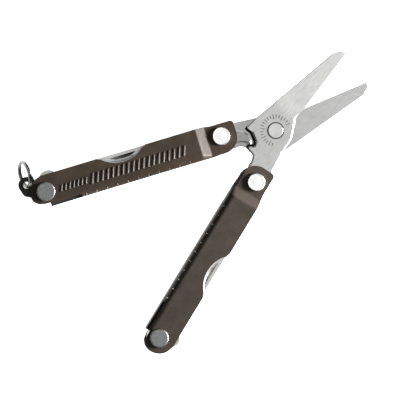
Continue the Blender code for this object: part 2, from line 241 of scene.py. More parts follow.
def spring_outline():
    beak = [(-10.4, -5.3, 1.0), (-8.8, -4.25, 1.0), (-7.85, -2.7, 1.0), (-7.65, -0.8, 1.5),
            (-8.4, 0.95, 0.5), (-9.6, -1.05, 0.8), (-11.5, -1.8, 1.2)]
    return rounded(arc(TANG_PIVOT, SPRING_EYE_R, 65, 275) + beak)


def cutout_edge(grow):
    """Edge of the thumb cutout from fork side to tool side, moved outwards by grow."""
    fillet_y = OPEN_EDGE - CUTOUT_FILLET
    reach_y = CUTOUT[1] - fillet_y
    reach_x = math.sqrt((CUTOUT_R + CUTOUT_FILLET) ** 2 - reach_y ** 2)
    slope = math.degrees(math.atan2(reach_y, reach_x))
    fillet = CUTOUT_FILLET - grow
    fork_side = arc((CUTOUT[0] + reach_x, fillet_y), fillet, 90, 180 - slope)
    thumb = arc(CUTOUT, CUTOUT_R + grow, 360 - slope, 180 + slope, 3.0)
    tool_side = arc((CUTOUT[0] - reach_x, fillet_y), fillet, slope, 90)
    return fork_side + thumb + tool_side


def wall_outline():
    """Side view of a handle: round tool end, leaf tip, fork end and thumb cutout."""
    tool_end = arc((0, 0), 4.7, 100, 205)
    leaf = [(-3.0, -3.05, 0.8), (-1.0, -3.42), (LEAF_TIP, -3.42), (LEAF_TIP, -6.0)]
    fork = [(50.8, -6.0), (50.8, -4.6)] + arc((53.75, 0.45), 4.95, 262, 360)
    corner = [(58.6, FORK_EDGE, 1.2), (51.5, FORK_EDGE, 2.0), (49.0, OPEN_EDGE, 2.0)]
    corners = fork + corner + cutout_edge(0) + [(-0.5, OPEN_EDGE, 1.0)]
    return rounded(corners + tool_end + leaf)


def tang_round():
    return arc((0, 0), TANG_R, 118, 285)


def stop_lobe():
    return arc((1.7, 3.1), 2.85, 20, 150)


def knife_outline():
    edge = [(8.0, -3.3, 0.6), (9.3, -2.2, 0.6), (10.5, -2.9, 0.5), (30.0, -2.9, 12.0)]
    spine = [(44.0, 2.9), (34.0, 4.8, 12.0), (4.6, 4.8, 0.6)]
    return rounded(arc((0, 0), TANG_R, 102, 285) + edge + spine + stop_lobe())


def file_outline():
    return rounded(tang_round() + [(8.0, -3.0, 0.6), (37.0, -2.9, 3.0), (43.5, 0.8, 0.6),
                                   (39.0, 4.2, 2.0), (5.2, 4.2, 1.6), (2.0, 3.3, 1.0)])


def opener_outline():
    hook = [(8.0, -3.0, 0.6), (17.0, -2.9, 1.5), (20.5, 0.2, 1.2), (26.0, 1.3, 1.8),
            (28.4, -1.6, 0.5), (31.5, -2.8, 1.5), (38.0, -1.8, 3.0)]
    tip = [(43.5, -1.2, 0.3), (43.5, 2.2, 0.3), (36.0, 4.4, 6.0), (5.2, 4.4, 1.6)]
    return rounded(tang_round() + hook + tip + [(2.0, 3.3, 1.0)])


def tweezer_outline():
    return rounded(tang_round() + [(14.0, -2.6, 8.0), (41.0, 0.9, 0.4), (41.0, 2.0, 0.4),
                                   (26.0, 4.1, 9.0), (5.2, 4.1, 1.6), (2.0, 3.3, 1.0)])


def phillips_outline():
    tip = [(20.0, -3.3, 1.5), (22.0, -2.6, 0.5), (25.5, -2.1, 0.5), (25.5, -0.6, 0.5),
           (22.0, -0.1, 0.5), (20.0, 0.7, 1.5), (4.4, 0.9, 1.2)]
    return rounded(arc((0, 0), TANG_R, 102, 285) + tip + stop_lobe())


def small_driver_outline():
    tip = [(15.0, -3.3, 2.0), (17.0, -2.2, 1.0), (23.5, -1.9, 0.2), (23.5, -0.6, 0.2),
           (17.0, -0.3, 1.0), (15.0, 0.7, 2.0), (4.4, 0.9, 1.2)]
    return rounded(arc((0, 0), TANG_R, 102, 285) + tip + stop_lobe())


def loop_outline():
    eye = arc(LOOP_HOLE, LOOP_R, 75, 200)
    neck = [(-6.5, 0.55, 1.2), (-4.3, -0.65, 1.5)]
    hub = arc((0, 0), TANG_R, 215, 395)
    return rounded([(-2.6, 5.85, 0.4)] + eye + neck + hub + [(-0.5, 3.6, 1.0), (-2.3, 4.3, 0.5)])


# Materials

# Where the painted sheen on a blade's ground face rises, in metres past the scissor rivet
PAINTED_SHEEN_SPAN = (0.0035, 0.0075)


class Finish:
    """A metal finish made from nodes: colour and roughness patterns, and a fine bump."""

    def __init__(self, name, colour, roughness, metallic=1.0):
        self.material = bpy.data.materials.new(name)
        self.material.use_nodes = True
        self.nodes = self.material.node_tree.nodes
        self.links = self.material.node_tree.links
        self.shader = self.nodes["Principled BSDF"]
        self.shader.inputs["Base Color"].default_value = (*colour, 1.0)
        self.shader.inputs["Roughness"].default_value = roughness
        self.shader.inputs["Metallic"].default_value = metallic
        self.coordinates = self.nodes.new("ShaderNodeTexCoord").outputs["Object"]
        self.height = None

    def stretched(self, scale, turn=0.0):
        """Object coordinates turned about Z and then scaled, to draw a pattern out."""
        turned = self.nodes.new("ShaderNodeMapping")
        turned.inputs["Rotation"].default_value = (0, 0, -turn)
        self.links.new(self.coordinates, turned.inputs["Vector"])
        scaled = self.nodes.new("ShaderNodeMapping")
        scaled.inputs["Scale"].default_value = scale
        self.links.new(turned.outputs["Vector"], scaled.inputs["Vector"])
        return scaled.outputs["Vector"]

    def noise(self, scale, detail=3.0, vector=None):
        node = self.nodes.new("ShaderNodeTexNoise")
        node.inputs["Scale"].default_value = scale
        node.inputs["Detail"].default_value = detail
        self.links.new(vector or self.coordinates, node.inputs["Vector"])
        return node.outputs["Fac"]

    def ramp(self, value, low, high, stops=(0.3, 0.7)):
        node = self.nodes.new("ShaderNodeValToRGB")
        for element, stop, colour in zip(node.color_ramp.elements, stops, (low, high)):
            element.position = stop
            element.color = (*colour, 1.0)
        self.links.new(value, node.inputs["Fac"])
        return node.outputs["Color"]

    def mix(self, factor, one, other, blend="MIX"):
        node = self.nodes.new("ShaderNodeMix")
        node.data_type = "RGBA"
        node.blend_type = blend
        sockets = (node.inputs["Factor"], node.inputs[6], node.inputs[7])
        for socket, value in zip(sockets, (factor, one, other)):
            if isinstance(value, bpy.types.NodeSocket):
                self.links.new(value, socket)
            else:
                socket.default_value = value
        return node.outputs[2]

    def colour(self, value):
        self.links.new(value, self.shader.inputs["Base Color"])

    def roughness(self, value, low, high):
        self.links.new(self.spread(value, low, high), self.shader.inputs["Roughness"])

    def spread(self, value, low, high):
        node = self.nodes.new("ShaderNodeMapRange")
        node.inputs["From Min"].default_value = 0.3
        node.inputs["From Max"].default_value = 0.7
        node.inputs["To Min"].default_value = low
        node.inputs["To Max"].default_value = high
        self.links.new(value, node.inputs["Value"])
        return node.outputs["Result"]

    def past_rivet(self, turn, start, end):
        """Rises from 0 to 1 between two distances past the scissor rivet, along a blade."""
        along = self.nodes.new("ShaderNodeSeparateXYZ")
        self.links.new(self.stretched((1, 1, 1), turn), along.inputs["Vector"])
        rivet = (Matrix.Rotation(-turn, 3, "Z") @ SCISSOR).x
        node = self.nodes.new("ShaderNodeMapRange")
        node.interpolation_type = "SMOOTHSTEP"
        node.inputs["From Min"].default_value = rivet + start
        node.inputs["From Max"].default_value = rivet + end
        self.links.new(along.outputs["X"], node.inputs["Value"])
        return node.outputs["Result"]

    def bump(self, value, strength, distance):
        node = self.nodes.new("ShaderNodeBump")
        node.inputs["Strength"].default_value = strength
        node.inputs["Distance"].default_value = distance
        self.links.new(value, node.inputs["Height"])
        if self.height:
            self.links.new(self.height, node.inputs["Normal"])
        self.height = node.outputs["Normal"]
        self.links.new(self.height, self.shader.inputs["Normal"])


def handle_coat(name, low, high):
    """Brown-grey coat over steel: mottled colour, fine grain and soft sheen."""
    coat = Finish(name, low, 0.5, 0.0)
    coat.shader.inputs["Specular IOR Level"].default_value = 0.14
    cloud = coat.ramp(coat.noise(260, 3), low, high)
    grain = coat.ramp(coat.noise(2600, 2), (0.72, 0.72, 0.72), (1.0, 1.0, 1.0))
    coat.colour(coat.mix(0.8, cloud, grain, "MULTIPLY"))
    coat.roughness(coat.noise(900, 3), 0.42, 0.52)
    coat.bump(coat.noise(3200, 2), 0.25, 0.00002)
    return coat.material


def ground_steel(name, colour, turn, painted_sheen=1.0):
    """Stainless steel with fine grinding lines that run across the given direction.

    With a value above 1, the tone rises softly past the scissor rivet: a painted sheen where a
    blade's ground face tilts towards the light.
    """
    steel = Finish(name, colour, 0.3)
    lines = steel.noise(1.0, 4, steel.stretched((420, 5200, 900), turn))
    cloud = steel.noise(170, 3)
    dark = tuple(0.86 * c for c in colour)
    light = tuple(min(1.0, 1.06 * c) for c in colour)
    streaked = steel.ramp(lines, dark, light)
    tone = steel.mix(0.3, streaked, steel.ramp(cloud, dark, light))
    if painted_sheen > 1.0:
        # Painted sheen: the tone is brightened past the rivet, where the grind catches the light
        sheen_tone = steel.mix(1.0, tone, (painted_sheen, painted_sheen, painted_sheen, 1.0), "MULTIPLY")
        tone = steel.mix(steel.past_rivet(turn, *PAINTED_SHEEN_SPAN), tone, sheen_tone)
    steel.colour(tone)
    steel.roughness(lines, 0.26, 0.36)
    steel.bump(lines, 0.12, 0.00001)
    return steel.material


def satin_steel(name, colour, roughness, mottle=0.85):
    steel = Finish(name, colour, roughness)
    speckle = steel.noise(1500, 3)
    steel.colour(steel.ramp(speckle, tuple(mottle * c for c in colour), colour))
    steel.roughness(steel.noise(700, 2), roughness - 0.06, roughness + 0.06)
    steel.bump(speckle, 0.15, 0.00001)
    return steel.material


def plain_dark(name, colour, roughness, metallic):
    dark = Finish(name, colour, roughness, metallic)
    dark.shader.inputs["Specular IOR Level"].default_value = 0.15
    dark.colour(dark.ramp(dark.noise(900, 3), tuple(0.6 * c for c in colour), colour))
    dark.bump(dark.noise(1400, 2), 0.2, 0.00002)
    return dark.material


def file_steel():
    steel = Finish("file_teeth", (0.5, 0.5, 0.49), 0.38)
    across = steel.nodes.new("ShaderNodeTexWave")
    across.bands_direction = "X"
    across.inputs["Scale"].default_value = 950
    across.inputs["Distortion"].default_value = 0.4
    steel.links.new(steel.stretched((1, 1, 1), TURN_B + math.radians(35)), across.inputs["Vector"])
    steel.colour(steel.ramp(across.outputs["Fac"], (0.3, 0.3, 0.29), (0.62, 0.62, 0.6)))
    steel.bump(across.outputs["Fac"], 0.6, 0.00008)
    return steel.material


COATS = {"a": handle_coat("coat_a", (0.023, 0.016, 0.011), (0.033, 0.024, 0.017)),
         "b": handle_coat("coat_b", (0.027, 0.021, 0.016), (0.036, 0.029, 0.023))}
# Both blades get a painted sheen on their ground faces past the rivet
FRONT_STEEL = ground_steel("front_blade_steel", (0.5, 0.5, 0.492), BLADE_TURN, painted_sheen=1.12)
# The rear blade's steel is a darker copy of the front blade's: painted shade where it lies under the
# front blade
BACK_STEEL_SHADED = ground_steel("back_blade_steel_painted_shade", (0.44, 0.44, 0.436), -BLADE_TURN, painted_sheen=1.05)
TOOL_STEEL_A = ground_steel("tool_steel_a", (0.55, 0.55, 0.54), TURN_A)
TOOL_STEEL_B = ground_steel("tool_steel_b", (0.55, 0.55, 0.54), TURN_B)
BARE_EDGE = satin_steel("bare_edge_steel", (0.66, 0.66, 0.64), 0.4)
CUT_RIM = satin_steel("cut_rim_steel", (0.24, 0.24, 0.232), 0.42)
RIVET_GREY = satin_steel("tool_rivet_steel", (0.26, 0.265, 0.265), 0.38, 0.7)
# Bright steel of the fork rivets; it is also the painted highlight in the bottle opener's nail nick
WHITE_RIVET_AND_NICK_HIGHLIGHT = satin_steel("fork_rivet_steel_and_nick_highlight", (0.9, 0.91, 0.9), 0.3, 0.95)
SPRING_STEEL = ground_steel("spring_steel", (0.3, 0.3, 0.296), -BLADE_TURN)
HEAD_STEEL = ground_steel("scissor_rivet_steel", (0.6, 0.6, 0.59), BLADE_TURN)
RING_STEEL = satin_steel("ring_steel", (0.27, 0.27, 0.265), 0.24)
BLACK_COAT = plain_dark("black_coat", (0.035, 0.037, 0.035), 0.4, 0.9)
# Near-black for the blades' steep sides: duller blanked steel, and painted shade of the gaps beside
# them
DULL_SIDE_AND_GAP_SHADE = plain_dark("blade_side_dull_and_gap_shade", (0.09, 0.09, 0.09), 0.6, 0.0)
# Near-black, painted shade: the groove round the scissor rivet, the slits beside the handles' leaf
# and the recess beside the spring take it
SHADE_BLACK = plain_dark("painted_shade_black", (0.02, 0.02, 0.02), 0.7, 0.0)
# Dark grey of the radial marks round the scissor rivet; it is also painted shade in the knife's nail
# nick
DARK_MARK_AND_NICK_SHADE = plain_dark("dark_marks_and_nick_shade", (0.16, 0.16, 0.16), 0.6, 0.6)
FILE_STEEL = file_steel()


# Mesh work


def make_object(name, bm, material):
    mesh = bpy.data.meshes.new(name)
    bmesh.ops.remove_doubles(bm, verts=bm.verts, dist=0.0001)
    bmesh.ops.recalc_face_normals(bm, faces=bm.faces)
    bm.to_mesh(mesh)
    bm.free()
    mesh.materials.append(material)
    obj = bpy.data.objects.new(name, mesh)
    bpy.context.collection.objects.link(obj)
    return obj


def add_prism(bm, outline, low, high):
    face = bm.faces.new([bm.verts.new((x, y, low)) for x, y in outline])
    grown = bmesh.ops.extrude_face_region(bm, geom=[face])
    tops = [v for v in grown["geom"] if isinstance(v, bmesh.types.BMVert)]
    bmesh.ops.translate(bm, verts=tops, vec=(0, 0, high - low))


def plate(name, outline, low, high, material):
    bm = bmesh.new()
    add_prism(bm, outline, low, high)
    return make_object(name, bm, material)


def inset(outline, width, share_at=None):
    """Outline moved inwards, by less where a convex corner is too tight for the full width.

    share_at gives the share of the width for a point, where it isn't the same all round.
    """
    points = []
    for spot in outline:
        if not points or (Vector(spot) - points[-1]).length > 0.02:
            points.append(Vector(spot))
    if (points[0] - points[-1]).length < 0.02:
        points.pop()
    count = len(points)
    area = sum(points[i - 1].cross(points[i]) for i in range(count))
    sign = 1 if area > 0 else -1
    gaps = [(points[(i + 1) % count] - points[i]) for i in range(count)]
    room = []
    for i in range(count):
        turn = sign * gaps[i - 1].angle_signed(gaps[i]) * -1
        length = (gaps[i - 1].length + gaps[i].length) / 2
        room.append(0.75 * length / turn if turn > 0.02 else 1e3)
    widths = []
    for i in range(count):
        near = width * share_at(points[i]) if share_at else width
        for step in (1, -1):
            far, k = 0.0, i
            while far < 2.0:
                near = min(near, room[k] + 0.4 * far)
                far += gaps[k if step == 1 else k - 1].length
                k = (k + step) % count
        widths.append(near)
    moved = []
    for i in range(count):
        one, other = gaps[i - 1].normalized(), gaps[i].normalized()
        normal = sign * (Vector((-one.y, one.x)) + Vector((-other.y, other.x))).normalized()
        miter = max(0.7, normal.dot(sign * Vector((-one.y, one.x))))
        moved.append(points[i] + normal * widths[i] / miter)
    return moved


def chamfered(name, outline, low, high, width, material, share_at=None):
    """Plate whose edges are rounded off, front and back."""
    levels = []
    for share, drop in ((1.0, 0.0), (0.3, 0.5), (0.0, 1.0)):
        levels.append((inset(outline, width * share, share_at), width * drop))
    loops = [[(x, y, low + drop) for x, y in points] for points, drop in levels]
    loops += [[(x, y, high - drop) for x, y in points] for points, drop in levels[::-1]]
    return loft(name, loops, material)


def loft(name, loops, material):
    """Closed solid through loops of points that have the same number of points."""
    bm = bmesh.new()
    add_loft(bm, loops)
    return make_object(name, bm, material)


def add_loft(bm, loops):
    rows = [[bm.verts.new(p) for p in points] for points in loops]
    for one, other in zip(rows, rows[1:]):
        for i in range(len(one)):
            bm.faces.new((one[i - 1], one[i], other[i], other[i - 1]))
    bm.faces.new(rows[0])
    bm.faces.new(rows[-1])


def circle(radius, z, count=64, centre=(0, 0)):
    turns = [2 * math.pi * i / count for i in range(count)]
    return [(centre[0] + radius * math.cos(t), centre[1] + radius * math.sin(t), z) for t in turns]


def evaluated(obj):
    """Put an object's modifiers into its mesh."""
    depsgraph = bpy.context.evaluated_depsgraph_get()
    mesh = bpy.data.meshes.new_from_object(obj.evaluated_get(depsgraph), depsgraph=depsgraph)
    obj.modifiers.clear()
    obj.data = mesh


def carve(obj, *cutters, operation="DIFFERENCE"):
    """Cut an object with others, whose material the cut faces take."""
    for cutter in cutters:
        modifier = obj.modifiers.new("cut", "BOOLEAN")
        modifier.operation = operation
        modifier.solver = "EXACT"
        modifier.material_mode = "TRANSFER"
        modifier.object = cutter
    evaluated(obj)
    for cutter in cutters:
        bpy.data.objects.remove(cutter, do_unlink=True)


def bevel(obj, width, segments, angle):
    modifier = obj.modifiers.new("edges", "BEVEL")
    modifier.width = width
    modifier.segments = segments
    modifier.limit_method = "ANGLE"
    modifier.angle_limit = math.radians(angle)
    evaluated(obj)


def settle(obj, matrix, body, slot, *nodes, crease=30.0, face_crease=None):
    """Shade a piece, put it into the row frame, and say what it rides on and stands for."""
    mark_creases(obj.data, math.radians(crease), math.radians(face_crease or crease))
    obj.data.transform(matrix)
    if matrix.determinant() < 0:
        obj.data.flip_normals()
    weighted = obj.modifiers.new("normals", "WEIGHTED_NORMAL")
    weighted.keep_sharp = True
    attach(obj, body)
    if nodes:
        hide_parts(*nodes)


def mark_creases(mesh, crease, face_crease):
    """Sharp edges: above crease anywhere, and above face_crease between faces seen from above."""
    bm = bmesh.new()
    bm.from_mesh(mesh)
    for face in bm.faces:
        face.smooth = True
    for edge in bm.edges:
        angle = edge.calc_face_angle(math.pi)
        level = all(abs(face.normal.z) > 0.9 for face in edge.link_faces)
        edge.smooth = angle < (face_crease if level else crease)
    bm.to_mesh(mesh)
    bm.free()


def hole(x, y, radius=HOLE_R, reach=8.0, material=None):
    return loft("hole", [circle(radius, -reach, 64, (x, y)), circle(radius, reach, 64, (x, y))],
                material or RIVET_GREY)


# Scissors


def grind_cutter(material, top, depth_edge, depth_spine, start, edge_y, spine_y, end_x):
    """Cutter whose lower face sinks towards the edge and runs out in an arc at its root."""
    columns, rows = 28, 10
    bm = bmesh.new()
    grid = []
    for i in range(columns + 1):
        t = i / columns
        x = start + (end_x - start) * t ** 1.6
        line = []
        for k in range(rows + 1):
            s = k / rows
            y = edge_y + (spine_y - edge_y) * s
            bow = 1.6 * (2 * s - 1) ** 2
            run = min(1.0, (x - start) / GRIND_RAMP)
            full = depth_edge + (depth_spine - depth_edge) * s
            depth = full * run * run * (3 - 2 * run) - 0.01
            line.append(bm.verts.new((x + bow * (1 - t), y, top - depth)))
        grid.append(line)
    lids = [[bm.verts.new((v.co.x, v.co.y, top + 2)) for v in line] for line in grid]
    for i in range(columns):
        for k in range(rows):
            bm.faces.new((grid[i][k], grid[i + 1][k], grid[i + 1][k + 1], grid[i][k + 1]))
            bm.faces.new((lids[i][k], lids[i][k + 1], lids[i + 1][k + 1], lids[i + 1][k]))
    for i in range(columns):
        for k in (0, rows):
            bm.faces.new((grid[i][k], grid[i + 1][k], lids[i + 1][k], lids[i][k]))
    for k in range(rows):
        for i in (0, columns):
            bm.faces.new((grid[i][k], grid[i][k + 1], lids[i][k + 1], lids[i][k]))
    return make_object("grind", bm, material)


def dial_marks(top):
    """One cutter of short radial slots round the rivet, every third one longer."""
    bm = bmesh.new()
    width, depth = DIAL_MARK
    for i, angle in enumerate(DIAL_ANGLES):
        inner = DIAL_RADII[0] - (0 if i % 3 else DIAL_LONGER)
        outer = DIAL_RADII[1]
        turn = Matrix.Rotation(math.radians(angle), 4, "Z")
        corners = [(inner, -width / 2), (outer, -width / 2), (outer, width / 2), (inner, width / 2)]
        moved = [(turn @ Vector((x, y, 0))).to_2d() for x, y in corners]
        add_prism(bm, moved, top - depth, top + 1)
    return make_object("dial_marks", bm, DARK_MARK_AND_NICK_SHADE)


def dull_and_shade_sides(blade):
    """Blanked sides, which stand nearly upright, are duller than the ground faces; their near-black
    colour is also painted shade for the gaps between pieces.
    """
    side = len(blade.data.materials)
    blade.data.materials.append(DULL_SIDE_AND_GAP_SHADE)
    for face in blade.data.polygons:
        if face.material_index == 0 and abs(face.normal.z) < SIDE_NORMAL_Z:
            face.material_index = side


def tang_spine_share(point):
    """The spine's edge is nearly sharp behind the rivet."""
    return SPINE_CHAMFER_SHARE if point.y > 5.0 and point.x < 1.0 else 1.0


def make_blade(name, matrix, material, chamfer, marked):
    """Ground scissor blade: chamfered all round, with a groove round the rivet's head."""
    low, high = BLADE_FACES
    outline = blade_outline()
    blade = chamfered(f"{name}_ground", outline, low, high, chamfer, material, tang_spine_share)
    grind = grind_cutter(material, high, depth_edge=0.5, depth_spine=0.0, start=5.2,
                         edge_y=-3.0, spine_y=7.5, end_x=33.0)
    # The groove round the rivet's head is cut with near-black faces: painted shade in the groove
    inner, outer = (SCISSOR_HEAD_R + gap for gap in HEAD_GROOVE)
    ring = ring_cutter(inner, outer, high - HEAD_GROOVE_DEPTH, high + 1)
    cutters = [grind, ring, hole(0, 0), hole(*TANG_PIVOT)]
    if marked:
        cutters.append(dial_marks(high))
    else:
        # The rear blade gets a near-black recess under the front blade's bay: painted shade of the
        # gap
        cutters.append(paint_gap_shade(matrix.inverted() @ IN_FRONT_BLADE))
    carve(blade, *cutters)
    dull_and_shade_sides(blade)
    settle(blade, matrix, name, "blade_steel", name, face_crease=2.5)


def paint_gap_shade(to_blade):
    """Recess in the rear blade's inner face, along the front blade's bay for the spring, coloured
    near-black: painted shade of the gap between spring and bay.
    """
    wider = inset(blade_outline(), -POCKET_MARGIN)
    reach = BLADE_FACES[0] + POCKET_DEPTH
    shade_plate = plate("shade_plate", [tuple(p) for p in wider], -reach, reach, SHADE_BLACK)
    carve(shade_plate, box_cutter(*POCKET_BOX, SHADE_BLACK), operation="INTERSECT")
    shade_plate.data.transform(to_blade)
    return shade_plate


def ring_cutter(inner, outer, low, high):
    bm = bmesh.new()
    levels = [circle(inner, low), circle(outer, low), circle(outer, high), circle(inner, high)]
    rows = [[bm.verts.new(p) for p in points] for points in levels]
    for one, other in zip(rows, rows[1:] + rows[:1]):
        for i in range(len(one)):
            bm.faces.new((one[i - 1], one[i], other[i], other[i - 1]))
    return make_object("ring_cutter", bm, SHADE_BLACK)


def make_spring():
    low, high = BLADE_FACES
    spring = chamfered("spring_lever", spring_outline(), low, high, SPRING_CHAMFER, SPRING_STEEL)
    carve(spring, hole(*TANG_PIVOT, radius=2.2))
    settle(spring, IN_SPRING, "scissor_spring", "blade_steel", "scissor_spring")


# Rivets


def head_loops(radius, under, thick, dome, soft, knurled):
    """Loops of a rivet's head, from its underside to its face; soft scales its rounding."""
    count = KNURLS * 4
    tooth_depth = KNURL_DEPTH if knurled else 0.0
    loops = []
    # Share of the thickness, how far the rim is drawn in, and share of the knurls' depth
    profile = [(0.0, 0.02, 1.0), (0.12, 0.0, 1.0), (0.58, 0.0, 1.0), (0.8, 0.1, 0.6),
               (0.92, 0.26, 0.2), (1.0 - dome, 0.44, 0.0)]
    for level, drawn_in, knurl in profile:
        loop = []
        for i in range(count):
            turn = 2 * math.pi * i / count
            tooth = tooth_depth * knurl * (0.5 - 0.5 * math.cos(KNURLS * turn))
            r = radius - soft * drawn_in - tooth
            loop.append((r * math.cos(turn), r * math.sin(turn), under + level * thick))
        loops.append(loop)
    if dome:
        loops.append(circle(radius * 0.45, under + thick * (1 - 0.25 * dome), count))
        loops.append(circle(radius * 0.1, under + thick, count))
    return loops


def make_rivet(node, matrix, body, radius, reach, thick, material, centre=(0, 0), dome=0.0, soft=1.0,
               knurled=True):
    """Both halves of a rivet: a head below with its shank, and a cap above."""
    under = reach + CLEAR
    spot = matrix @ Matrix.Translation((*centre, 0))
    loops = head_loops(radius, under, thick, dome, soft, knurled)
    cap = loft(f"{node}_cap_head", loops, material)
    settle(cap, spot, body, "rivet_steel", f"{node}_cap", crease=50)
    bm = bmesh.new()
    add_loft(bm, [[(x, y, -z) for x, y, z in loop] for loop in loops])
    add_loft(bm, [circle(HOLE_R - 0.1, -under - 0.2), circle(HOLE_R - 0.1, under + 0.3 * thick)])
    post = make_object(f"{node}_post_head", bm, material)
    settle(post, spot, body, "rivet_steel", f"{node}_post", crease=50)


# Handles


def joggle_share(x):
    """How far along the joggle a station is, from 0 to 1, with both of its bends rounded."""
    low, high = JOGGLE
    length = high - low
    t = (x - low) / length
    soft = JOGGLE_ROUND / length / 2
    if t <= -soft:
        return 0.0
    if t >= 1 + soft:
        return 1.0
    if t < soft:
        return (t + soft) ** 2 / (4 * soft)
    if t > 1 - soft:
        return 1.0 - (1 + soft - t) ** 2 / (4 * soft)
    return t


def channel_section(half, bend):
    """U section of the folded sheet as (y, z) points, open towards +Y."""
    step = 7.5
    outer = [(OPEN_EDGE, half)]
    outer += arc((WEB_FACE + bend, half - bend), bend, 90, 180, step)
    outer += arc((WEB_FACE + bend, bend - half), bend, 180, 270, step)
    outer.append((OPEN_EDGE, -half))
    inner = [(OPEN_EDGE, half - SHEET)]
    inner += arc((WEB_FACE + bend, half - bend), bend - SHEET, 90, 180, step)
    inner += arc((WEB_FACE + bend, bend - half), bend - SHEET, 180, 270, step)
    inner.append((OPEN_EDGE, SHEET - half))
    return outer + inner[::-1]


def folded_sheet(name, coat):
    low, high = JOGGLE
    soft = JOGGLE_ROUND / 2
    bends = [x + soft * (i / 4 - 1) for x in (low, high) for i in range(9)]
    loops = []
    for x in [-6.0] + bends + [60.0]:
        share = joggle_share(x)
        half = CHANNEL_HALF + (FORK_HALF - CHANNEL_HALF) * share
        bend = BEND_R + (FORK_BEND_R - BEND_R) * share
        loops.append([(x, y, z) for y, z in channel_section(half, bend)])
    return loft(name, loops, coat)


def chamfer_cutter(face):
    """Cutter that slopes the rim of the thumb cutout in the front (1) or rear (-1) wall."""
    loops = []
    for grow, depth in ((0.0, CUTOUT_CHAMFER), (CUTOUT_CHAMFER * 1.2, -0.1)):
        edge = cutout_edge(grow)
        lid = [(edge[-1][0], CUTOUT[1]), (edge[0][0], CUTOUT[1])]
        loops.append([(x, y, face * (CHANNEL_HALF - depth)) for x, y in edge + lid])
    return loft("rim", loops, CUT_RIM)


def box_cutter(low, high, material):
    outline = [(low[0], low[1]), (high[0], low[1]), (high[0], high[1]), (low[0], high[1])]
    return plate("box", outline, low[2], high[2], material)


def make_handle(letter, matrix):
    name = f"handle_{letter}"
    coat = COATS[letter]
    sheet = folded_sheet(f"{name}_sheet", coat)
    carve(sheet, plate("wall", wall_outline(), -6, 6, coat), operation="INTERSECT")
    inner = FORK_HALF - SHEET
    gap = box_cutter((WEB_END, -7, -inner), (62, -3.6, inner), coat)
    # The slits' cut faces take near-black: painted shade of the deep slit beside the leaf
    slits = [box_cutter((-7, -7, LEAF_HALF), (LEAF_ROOT, WALL_LOW, 7), SHADE_BLACK),
             box_cutter((-7, -7, -7), (LEAF_ROOT, WALL_LOW, -LEAF_HALF), SHADE_BLACK)]
    carve(sheet, gap, *slits)
    bevel(sheet, SHEET_EDGE_BEVEL, segments=2, angle=50)
    rims = [chamfer_cutter(1), chamfer_cutter(-1)]
    carve(sheet, *rims, hole(0, 0), hole(FORK_X, FORK_Y))
    settle(sheet, matrix, name, "handle_coat", f"{name}_frame", crease=35)
    make_ticks(name, matrix)
    make_rivet(f"{name}_tool_rivet", matrix, name, TOOL_HEAD_R, CHANNEL_HALF, HEAD_THICK, RIVET_GREY)
    make_rivet(f"{name}_fork_rivet", matrix, name, FORK_HEAD_R, FORK_HALF, HEAD_THICK, WHITE_RIVET_AND_NICK_HIGHLIGHT,
               (FORK_X, FORK_Y), 0.12)


def make_ticks(name, matrix):
    """Ruler lines rolled into the web-side bend of the front wall, down to bare steel."""
    bm = bmesh.new()
    centre = (WEB_FACE + BEND_R, CHANNEL_HALF - BEND_R)
    for i in range(TICK_COUNT):
        x = TICK_FIRST + TICK_PITCH * i
        band = arc(centre, BEND_R + 0.015, *TICK_ARC) + arc(centre, BEND_R - 0.1, *TICK_ARC[::-1])
        add_loft(bm, [[(x + side, y, z) for y, z in band] for side in (-TICK_HALF, TICK_HALF)])
    ticks = make_object(f"{name}_ruler_lines", bm, BARE_EDGE)
    settle(ticks, matrix, name, "rivet_steel")


def rib_loop(x, half, width, height, drawn_in):
    """One level of a slanted rib: a parallelogram drawn in from the rib's foot."""
    slant = RIB_SLANT * half
    w = width / 2 + 0.1 - drawn_in
    h = half - drawn_in
    z = CHANNEL_HALF + height
    corners = ((-w - slant, -h), (w - slant, -h), (w + slant, h), (slant - w, h))
    return [(x + dx, RIB_Y + dy, z) for dx, dy in corners]


def make_relief(matrix):
    """Plain slanted ribs pressed out of handle A's front wall, small ones near the tool end."""
    bm = bmesh.new()
    for first, pitch, count, half, width in RIBS:
        for i in range(count):
            x = first + pitch * i
            add_loft(bm, [rib_loop(x, half, width, *level) for level in RIB_LEVELS])
    relief = make_object("handle_a_grip_ribs", bm, COATS["a"])
    settle(relief, matrix, "handle_a", "handle_coat", crease=25)


# Tools


def make_tool(node, outline, bounds, matrix, body, material, cutters=(), chamfer=0.12):
    tool = chamfered(f"{node}_piece", outline, *bounds, chamfer, material)
    carve(tool, hole(0, 0), *cutters)
    settle(tool, matrix, body, "blade_steel", node, face_crease=2.5)


def nick(centre_x, top_y, half_length, depth_y, face, material):
    """Cutter for a nail nick whose floor sinks from its curved side to its straight one."""
    radius = (half_length ** 2 + depth_y ** 2) / (2 * depth_y)
    spread = math.degrees(math.asin(half_length / radius))
    edge = arc((centre_x, top_y + radius - depth_y), radius, 270 - spread, 270 + spread, 2.0)[1:-1]
    loops = []
    for x, y in edge:
        floor = face - NICK_SLOPE * (top_y - y)
        loops.append([(x, y, face), (x, top_y, floor), (x, top_y, face + 1), (x, y, face + 1)])
    return loft("nick", loops, material)


